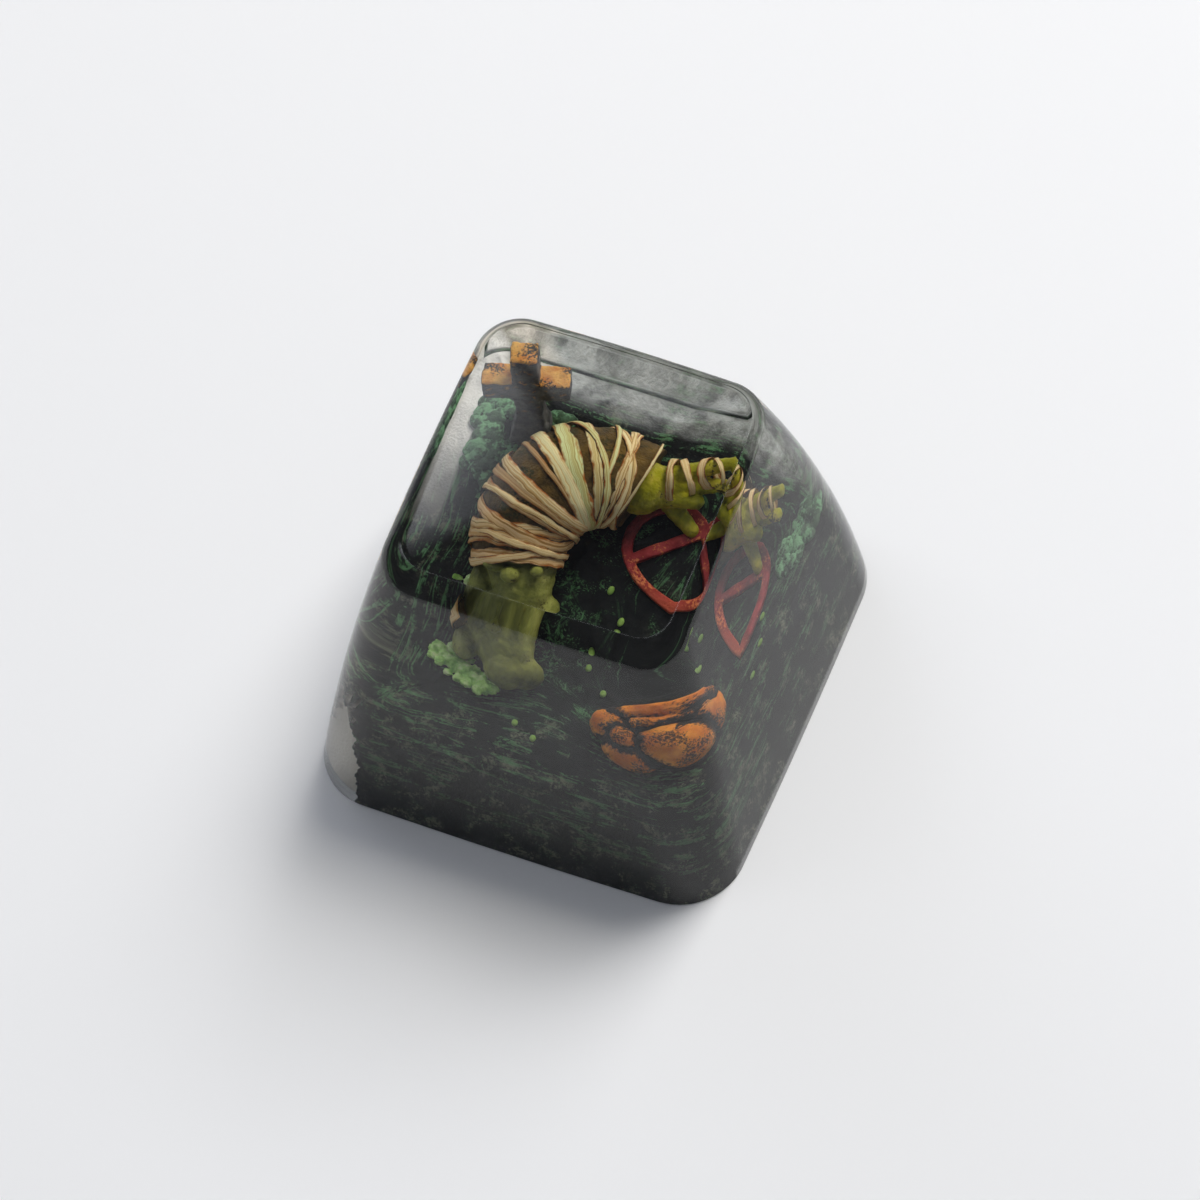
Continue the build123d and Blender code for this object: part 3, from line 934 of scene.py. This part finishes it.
scraps = run_tree(
    "arm_wraps",
    turns_mesh("arm_turns", arm_point, lambda share: ARM_THICK - ARM_TAPER * share, ARM_TURNS),
    strips,
    {"Ring": ring, "Ripple": 0.25, "Raggedness": 1.2, "Finish": strip_finish},
)
finish_piece(scraps, strip_finish)
bpy.data.objects.remove(ring)

# %% [markdown]
# ## Grave cross
#
# A stone cross stands on the mound. It is a post with a flared foot and one arm, melted so that its edges are
# soft. Its upper faces are painted orange and sponged with black, and its sides are left dark grey. Each point
# remembers how far it looks upwards, and the finish is chosen by that.

# %% Cross
CROSS_HEIGHT, CROSS_ARM_DROP = 5.8, 2.2
CROSS_SPAN, CROSS_WIDTH, CROSS_DEPTH = 3.7, 1.15, 1.1
CROSS_FOOT, CROSS_FOOT_RISE, CROSS_SINK, CROSS_OVERLAP = 0.45, 1.7, 0.6, 0.2
CROSS_TURN, CROSS_LEAN = radians(17), radians(-12)


def beam(shape, low, high, low_size, high_size):
    """Add a square beam between two heights, with its own size at each end."""
    rings = []
    for height, (wide, deep) in ((low, low_size), (high, high_size)):
        rings.append([(x * wide / 2, y * deep / 2, height) for x, y in CORNERS])
    rows = loft(shape, rings)
    shape.faces.new(rows[1])
    shape.faces.new(list(reversed(rows[0])))


cross_shape = bmesh.new()
thick = (CROSS_WIDTH, CROSS_DEPTH)
foot = (CROSS_WIDTH + 2 * CROSS_FOOT, CROSS_DEPTH + CROSS_FOOT)
arm = (CROSS_SPAN, CROSS_DEPTH)
arm_low = CROSS_HEIGHT - CROSS_ARM_DROP - CROSS_WIDTH / 2
beam(cross_shape, -CROSS_SINK, CROSS_FOOT_RISE, foot, thick)
beam(cross_shape, CROSS_FOOT_RISE - CROSS_OVERLAP, CROSS_HEIGHT, thick, thick)
beam(cross_shape, arm_low, arm_low + CROSS_WIDTH, arm, arm)
cross = clay("stone_cross", cross_shape, grain=0.06, smoothing=14)
ripple(cross, depth=0.05, pitch=0.5)
cross_place = Matrix.Translation((CROSS_X, CROSS_Y, slope_height(CROSS_Y) + MOUND_RISE))
cross.data.transform(cross_place @ Matrix.Rotation(CROSS_TURN, 4, "Z") @ Matrix.Rotation(CROSS_LEAN, 4, "X"))
set_values(cross.data, "upward", [vertex.normal.z for vertex in cross.data.vertices])

stone_finish, place, tone = new_paint("sponged_stone", roughness=0.7, fineness=1.6, depth=0.06)
above_foot = between(axes(place)["Z"], 8.6, 9.2)
upper = product(between(attribute(place, "upward"), 0.3, 0.6), above_foot)
dark = ramp(tone, (0.35, srgb(44, 44, 46)), (0.65, srgb(104, 102, 100)))
orange = ramp(tone, (0.35, srgb(200, 122, 34)), (0.65, srgb(234, 180, 88)))
sponged = mixed(specked(place, fineness=9.0, cut=0.245), orange, srgb(48, 40, 26))
coat(mixed(upper, dark, sponged))
finish_piece(cross, stone_finish, "grave_cross")

# %% [markdown]
# ## Pumpkin
#
# The pumpkin is a clutch of uneven lobes with bars of stalk across them. Each lobe is a stretched ball. Each
# point remembers how near the next lobe is, so the creases can be painted black and frayed towards them: black
# paint and painted shade together.

# %% Pumpkin
PUMPKIN, PUMPKIN_RISE = Vector((4.9, -4.1)), 0.75
PUMPKIN_LOBES = (
    ((-1.3, 0.05, 0.2), (0.95, 0.85, 0.8), 20),
    ((-0.65, -0.75, 0.55), (0.62, 0.5, 0.5), -20),
    ((0.9, -0.4, 0.25), (1.1, 1.0, 1.0), 0),
    ((1.1, 0.8, 0.3), (0.8, 0.85, 0.9), 35),
    ((-0.4, -1.0, -0.25), (1.2, 0.7, 0.65), -12),
    ((-0.2, 0.7, 0.2), (1.3, 0.9, 0.7), 20),
)
PUMPKIN_BARS = (
    ((-1.3, 0.3, 0.75), (-0.2, 0.75, 1.1), 0.34, 0.34),
    ((-0.2, 0.75, 1.1), (0.95, 1.15, 0.95), 0.34, 0.42),
    ((-0.35, 0.0, 0.95), (0.75, 0.5, 0.95), 0.24, 0.3),
)
pumpkin_middle = Vector((*PUMPKIN, ground_height(*PUMPKIN) + PUMPKIN_RISE))
lobe_places = []
pumpkin_shape = bmesh.new()
for middle, half, turn in PUMPKIN_LOBES:
    spin = Matrix.Rotation(radians(turn), 4, "Z")
    lobe_places.append(Matrix.Translation(pumpkin_middle + Vector(middle)) @ spin @ Matrix.Diagonal((*half, 1)))
    bmesh.ops.create_uvsphere(pumpkin_shape, u_segments=48, v_segments=32, radius=1.0, matrix=lobe_places[-1])
pumpkin = shape_object("pumpkin_lobes", pumpkin_shape)
stalk_shape = bmesh.new()
for start, end, thick, thin in PUMPKIN_BARS:
    roll(stalk_shape, pumpkin_middle + Vector(start), pumpkin_middle + Vector(end), thick, thin)
stalk = clay("pumpkin_stalk", stalk_shape, grain=0.045, smoothing=4)


def crease_values(thing, lobe_size=None):
    """How far each point lies from the nearest lobe that isn't its own."""
    reaches = [(place.inverted(), min(half)) for place, (middle, half, turn) in zip(lobe_places, PUMPKIN_LOBES)]
    values = []
    for vertex in thing.data.vertices:
        own = vertex.index // lobe_size if lobe_size else None
        others = [reach for lobe, reach in enumerate(reaches) if lobe != own]
        values.append(min(max(0.0, (inverse @ vertex.co).length - 1) * size for inverse, size in others))
    return values


lobe_size = len(pumpkin.data.vertices) // len(PUMPKIN_LOBES)
set_values(pumpkin.data, "crease", crease_values(pumpkin, lobe_size))
set_values(stalk.data, "crease", crease_values(stalk))
ripple(pumpkin, depth=0.04, pitch=0.5)
ripple(stalk, depth=0.05, pitch=0.4)

pumpkin_finish, place, tone = new_paint("pumpkin_paint", roughness=0.5, fineness=1.3, depth=0.04)
# Black in the creases between lobes, frayed at its edge: black paint and painted shade together.
fuzz = product(cloud(place, 6.0, 4.0, 0.7), 0.7)
clear = between(maths("SUBTRACT", attribute(place, "crease"), fuzz), -0.16, -0.02)
base = ramp(tone, (0.35, srgb(206, 106, 14)), (0.65, srgb(244, 158, 52)))
dotted = mixed(specked(place, fineness=12.0, cut=0.26), base, srgb(70, 42, 14))
coat(mixed(clear, srgb(18, 13, 8), dotted))
finish_piece(pumpkin, pumpkin_finish, "pumpkin")
finish_piece(stalk, pumpkin_finish)

# %% [markdown]
# ## Fallen frame
#
# A red frame lies under the hand: a pointed ring, with a bar across its wide end. Both are curves, and another
# curve, a rounded flat section, is drawn along them, which gives even bars.

# %% Red frame
FRAME_X, FRAME_Y, FRAME_RISE = 3.9, 1.6, 0.3
FRAME_TURN, FRAME_TILT = radians(-52), radians(4)
FRAME_LENGTH, FRAME_WIDTH, FRAME_BEND = 5.0, 3.4, 1.7
FRAME_BAR, FRAME_THICK = 0.25, 0.17
POINT_STEPS, BEND_STEPS, BAR_STEPS, SECTION_STEPS = 8, 12, 10, 16
half = FRAME_LENGTH / 2
bend_x = FRAME_BEND - half
ring_points = [(half, 0)]
for share in shares(POINT_STEPS)[1:]:
    ring_points.append((half + (bend_x - half) * share, FRAME_WIDTH / 2 * sin(share * pi / 2)))
for share in shares(BEND_STEPS)[1:-1]:
    angle = pi / 2 - pi * share
    ring_points.append((bend_x - FRAME_BEND * cos(angle), FRAME_WIDTH / 2 * sin(angle)))
ring_points += [(x, -y) for x, y in reversed(ring_points[1 : POINT_STEPS + 1])]
bar_points = [(bend_x, FRAME_WIDTH * (share - 0.5)) for share in shares(BAR_STEPS)]


def poly_curve(name, paths):
    """A flat curve made of straight pieces, each path closed or open."""
    made = bpy.data.curves.new(name, "CURVE")
    made.dimensions = "3D"
    made.twist_mode = "Z_UP"
    for path, closed in paths:
        spline = made.splines.new("POLY")
        spline.points.add(len(path) - 1)
        spline.use_cyclic_u = closed
        for point, (x, y) in zip(spline.points, path):
            point.co = (x, y, 0, 1)
    return made


def squared(value):
    """A cosine or sine pushed outwards, which turns a circle into a rounded square."""
    return abs(value) ** 0.5 * (1 if value > 0 else -1)


section = [(FRAME_BAR * squared(x), FRAME_THICK * squared(y)) for x, y in circle(SECTION_STEPS)]
profile = new_object("bar_profile", poly_curve("bar_profile", ((section, True),)))
bars = poly_curve("red_bars", ((ring_points, True), (bar_points, False)))
bars.bevel_mode = "OBJECT"
bars.bevel_object = profile
bars.use_fill_caps = True
red = settle(new_object("fallen_frame", bars))
bpy.data.objects.remove(profile)
red.data.shade_smooth()
ripple(red, depth=0.04, pitch=0.5)
red_place = Matrix.Translation((FRAME_X, FRAME_Y, ground_height(FRAME_X, FRAME_Y) + FRAME_RISE))
red.data.transform(red_place @ Matrix.Rotation(FRAME_TILT, 4, "X") @ Matrix.Rotation(FRAME_TURN, 4, "Z"))

red_finish, place, tone = new_paint("red_paint", roughness=0.5, fineness=1.4, depth=0.05)
base = ramp(tone, (0.35, srgb(116, 22, 28)), (0.65, srgb(178, 66, 66)))
# Towards the front end the red turns orange: painted light on that end of the frame.
lit_front = mixed(between(axes(place)["Y"], 0.6, -0.6), base, srgb(184, 84, 50))
coat(mixed(specked(place, fineness=7.0, cut=0.31), lit_front, srgb(214, 122, 76)))
finish_piece(red, red_finish, "red_frame")

# %% [markdown]
# ## Leaf sprig
#
# A ragged leaf lies at the front left. It is pressed from clay too: flat balls along its middle, and smaller
# ones that wander along both edges and are melted into lobes.

# %% Leaf
LEAF = Vector((-3.3, -2.9))
LEAF_LENGTH, LEAF_WIDTH, LEAF_TURN = 3.7, 1.3, radians(-32)
LEAF_START, LEAF_STEPS = 3, 15
LEAF_BALL = 0.2
LEAF_SEED = 1795827471
leaf_shape = bmesh.new()
noise.seed_set(LEAF_SEED)  # without a seed, noise_vector would follow the clock
for step in range(LEAF_START, LEAF_STEPS + 1):
    share = step / LEAF_STEPS
    reach = LEAF_WIDTH / 2 * (0.45 + 0.55 * sin(pi * (0.15 + 0.75 * share))) * (0.7 + 0.3 * (-1) ** step)
    x = LEAF_LENGTH * (share - 0.5)
    for side in (-1, 0, 1):
        wander = noise.noise_vector(Vector((x * 1.9, side * 3.1, 7.0)))
        height = 0.6 + 0.16 * wander.z - 0.12 * abs(side)
        spot = Vector((x + 0.3 * wander.x, side * reach + 0.25 * wander.y, height))
        ball(leaf_shape, spot, LEAF_BALL + 0.07 * wander.z, (1.15, 1.15, 0.8))
    ball(leaf_shape, (x, 0, 0.4), LEAF_BALL, (1, 4 * reach, 0.9))
leaf = clay("ragged_leaf", leaf_shape, grain=0.045, smoothing=3)
ripple(leaf, depth=0.09, pitch=0.3)
leaf_place = Matrix.Translation((*LEAF, ground_height(*LEAF)))
leaf.data.transform(leaf_place @ Matrix.Rotation(LEAF_TURN, 4, "Z"))

leaf_finish, place, tone = new_paint("leaf_paint", roughness=0.45, fineness=2.0, depth=0.06)
coat(ramp(tone, (0.35, srgb(128, 186, 84)), (0.5, srgb(184, 230, 126)), (0.66, srgb(234, 250, 190))))
finish_piece(leaf, leaf_finish, "leaf_sprig")

# %% [markdown]
# ## Moss and flecks
#
# Moss grows round the foot of the cross and by the right wall. It repeats one small lump over the ground, so a
# tree scatters it: points on a patch of ground, and on each point a lump of random size and turn. A few pale
# flecks lie about, each given one by one.

# %% Scatter tree
LUMP_LENGTH = 1.35
LEAST_TURN, MOST_TURN = (-0.3, -0.3, 0), (0.3, 0.3, 6.3)
sockets = {"Patch": "Geometry", "Finish": "Material", "Seed": "Int"}
sockets |= dict.fromkeys(("Density", "Smallest", "Largest", "Flatness"), "Float")
scatter, given, leaving = new_tree("scatter", "Geometry", sockets, {"Lumps": "Geometry"})
seed = given["Seed"]
inputs = {"Mesh": given["Patch"], "Density": given["Density"], "Seed": seed}
spots = flow("GeometryNodeDistributePointsOnFaces", inputs)
lump = add_node(scatter, "GeometryNodeMeshIcoSphere", {"Radius": 1.0, "Subdivisions": 2}).outputs["Mesh"]
inputs = {0: LEAST_TURN, 1: MOST_TURN, "Seed": seed}
spin = flow("FunctionNodeRandomValue", inputs, data_type="FLOAT_VECTOR")
inputs = {2: given["Smallest"], 3: given["Largest"], "Seed": seed}
bulk = add_node(scatter, "FunctionNodeRandomValue", inputs, data_type="FLOAT").outputs[1]
long, flat = product(bulk, LUMP_LENGTH), product(bulk, given["Flatness"])
size = flow("ShaderNodeCombineXYZ", {"X": long, "Y": bulk, "Z": flat})
turn = flow("FunctionNodeEulerToRotation", {"Euler": spin})
inputs = {"Points": spots, "Instance": lump, "Rotation": turn, "Scale": size}
copies = flow("GeometryNodeInstanceOnPoints", inputs)
real = flow("GeometryNodeRealizeInstances", {"Geometry": copies})
soft = flow("GeometryNodeSetShadeSmooth", {"Geometry": real})
painted = flow("GeometryNodeSetMaterial", {"Geometry": soft, "Material": given["Finish"]})
feed(painted, leaving["Lumps"])


def ground_patch(name, middles):
    """Round patches of ground, each given by its middle and radius."""
    shape = bmesh.new()
    for x, y, radius in middles:
        spots = [(x + radius * cos(turn * pi / 6), y + radius * sin(turn * pi / 6)) for turn in range(12)]
        row = [shape.verts.new((px, py, ground_height(px, py))) for px, py in spots]
        fan(shape, row, (x, y, ground_height(x, y) + 0.05))
    mesh = bpy.data.meshes.new(name)
    shape.to_mesh(mesh)
    shape.free()
    return mesh


# %% Moss and flecks
MOSS_PATCHES = ((-5.3, 3.6, 1.1), (-3.1, 5.4, 0.9), (-5.8, 5.2, 0.9), (6.1, 6.0, 1.0), (5.9, 4.4, 0.9))
FLECKS = ((5.8, 1.5), (6.5, 0.5), (7.1, -0.9), (0.5, -5.5), (-0.4, -4.9), (2.6, -1.6), (1.7, -0.4))
FLECK_RADIUS, FLECK_RISE = 0.17, 0.06
moss_finish, place, tone = new_paint("moss_paint", roughness=0.6, fineness=1.6, depth=0.08)
base = ramp(tone, (0.35, srgb(40, 58, 42)), (0.6, srgb(80, 108, 80)))
coat(mixed(specked(place, fineness=5.0, cut=0.24), base, srgb(118, 166, 122)))
moss = run_tree(
    "moss_lumps",
    ground_patch("moss_patch", MOSS_PATCHES),
    scatter,
    {"Density": 12.0, "Smallest": 0.12, "Largest": 0.4, "Flatness": 0.9, "Seed": 2, "Finish": moss_finish},
)
finish_piece(moss, moss_finish, "moss_clumps")

fleck_finish, place, tone = new_paint("fleck_paint", roughness=0.5, fineness=2.5, depth=0)
coat(ramp(tone, (0.3, srgb(112, 152, 66)), (0.7, srgb(156, 190, 100))))
fleck_shape = bmesh.new()
for x, y in FLECKS:
    ball(fleck_shape, (x, y, rough_ground(x, y) + FLECK_RISE), FLECK_RADIUS, (0.8, 1.3, 0.6))
flecks = shape_object("pale_flecks", fleck_shape)
finish_piece(flecks, fleck_finish)

# %% [markdown]
# ## Stage, light and camera
#
# The cap stands on a pale floor, lit by one wide soft lamp that hangs behind it, so its shadow falls towards the
# viewer. The lamp hides from reflections. What the resin mirrors is the sky: a dark one, with a bright screen
# nearly overhead. A black flag, as photographers call a panel that keeps light off, covers part of the screen.
# Where the dished top and the rounded edges look into the screen they get their pale sheen, and elsewhere they
# stay dark. Each mask of the sky is a band of directions, from where it starts to where it is full.

# %% Floor
floor_shape = bmesh.new()
bmesh.ops.create_grid(floor_shape, x_segments=1, y_segments=1, size=2.0)
floor = shape_object("floor", floor_shape)
floor_finish = new_material("pale_floor", {"Base Color": (0.92, 0.928, 0.94, 1), "Roughness": 0.9})
floor.data.materials.append(floor_finish)

# %% Sky
DARK_SKY, SCREEN = (0.075, 0.08, 0.092, 1), (3.1, 3.2, 3.4, 1)
VEIL, CORNER_GLOW = (1.4, 1.45, 1.55, 1), (1.1, 1.15, 1.3, 1)
world = bpy.data.worlds.new("studio")
bpy.context.scene.world = world
world.use_nodes = True
tree = world.node_tree
way = axes(add_node(tree, "ShaderNodeTexCoord").outputs["Generated"])
side, back = way["X"], way["Y"]
ahead = between(back, 0.0, 0.18)
right_of_flag = product(between(side, -0.1, -0.05), ahead, 0.5)
lift = maths("MULTIPLY_ADD", between(side, -0.34, -0.5), 0.5, 0.5)
before_flag = product(between(back, 0.11, 0.03), lift)
across = product(between(side, -0.8, -0.6), between(side, 0.14, 0.05))
along = product(between(back, -0.14, 0.04), between(back, 0.62, 0.42))
limits = product(across, along)
screen = product(maths("MAXIMUM", right_of_flag, before_flag), limits)
veil = product(between(side, -0.2, -0.09), ahead, limits)
corner = product(between(side, -0.4, -0.58), between(back, 0.26, 0.42))
dim = mixed(corner, mixed(veil, DARK_SKY, VEIL), CORNER_GLOW)
feed(mixed(screen, dim, SCREEN), tree.nodes["Background"].inputs["Color"])
tree.nodes["Background"].inputs["Strength"].default_value = 1.0

# %% Lamp
LAMP_SIZE, LAMP_POWER, LAMP_DISTANCE = 0.3, 3.9, 0.6
LAMP_WAY = Vector((0.18, 0.71, 0.68))
CAP_MIDDLE = Vector((0, 0, 0.005))
lamp = bpy.data.lights.new("softbox", "AREA")
lamp.shape = "RECTANGLE"
lamp.size, lamp.size_y = LAMP_SIZE, LAMP_SIZE
lamp.energy = LAMP_POWER
lamp.color = (1.0, 0.98, 0.95)
softbox = new_object("softbox", lamp)
softbox.location = LAMP_WAY.normalized() * LAMP_DISTANCE
softbox.visible_glossy = False
softbox.visible_transmission = False
softbox.rotation_mode = "QUATERNION"
softbox.rotation_quaternion = (CAP_MIDDLE - softbox.location).to_track_quat("-Z", "Y")

# %% Camera
TARGET = Vector((0, 0, 0.006))
AZIMUTH, ELEVATION, ROLL = radians(33.157), radians(60.889), radians(-12.081)
DISTANCE, LENS = 0.4, 303.3
FRAME_PIXELS = 1200
MIDDLE_X, MIDDLE_Y = 580.7, 594.3
camera_data = bpy.data.cameras.new("camera")
camera_data.lens = LENS
camera_data.shift_x = (FRAME_PIXELS / 2 - MIDDLE_X) / FRAME_PIXELS
camera_data.shift_y = (MIDDLE_Y - FRAME_PIXELS / 2) / FRAME_PIXELS
camera_data.clip_start, camera_data.clip_end = 0.01, 10
camera = new_object("camera", camera_data)
tilted = Matrix.Rotation(pi / 2 - ELEVATION, 4, "X") @ Matrix.Rotation(ROLL, 4, "Z")
turned = Matrix.Rotation(AZIMUTH, 4, "Z") @ tilted
camera.matrix_world = Matrix.Translation(TARGET) @ turned @ Matrix.Translation((0, 0, DISTANCE))
bpy.context.scene.camera = camera

# %% Render settings
scene = bpy.context.scene
scene.view_settings.view_transform = "Standard"
scene.cycles.max_bounces = 24
scene.cycles.transmission_bounces = 20
scene.cycles.glossy_bounces = 8
scene.cycles.transparent_max_bounces = 16
scene.cycles.caustics_refractive = True
scene.cycles.caustics_reflective = False
scene.cycles.use_denoising = True
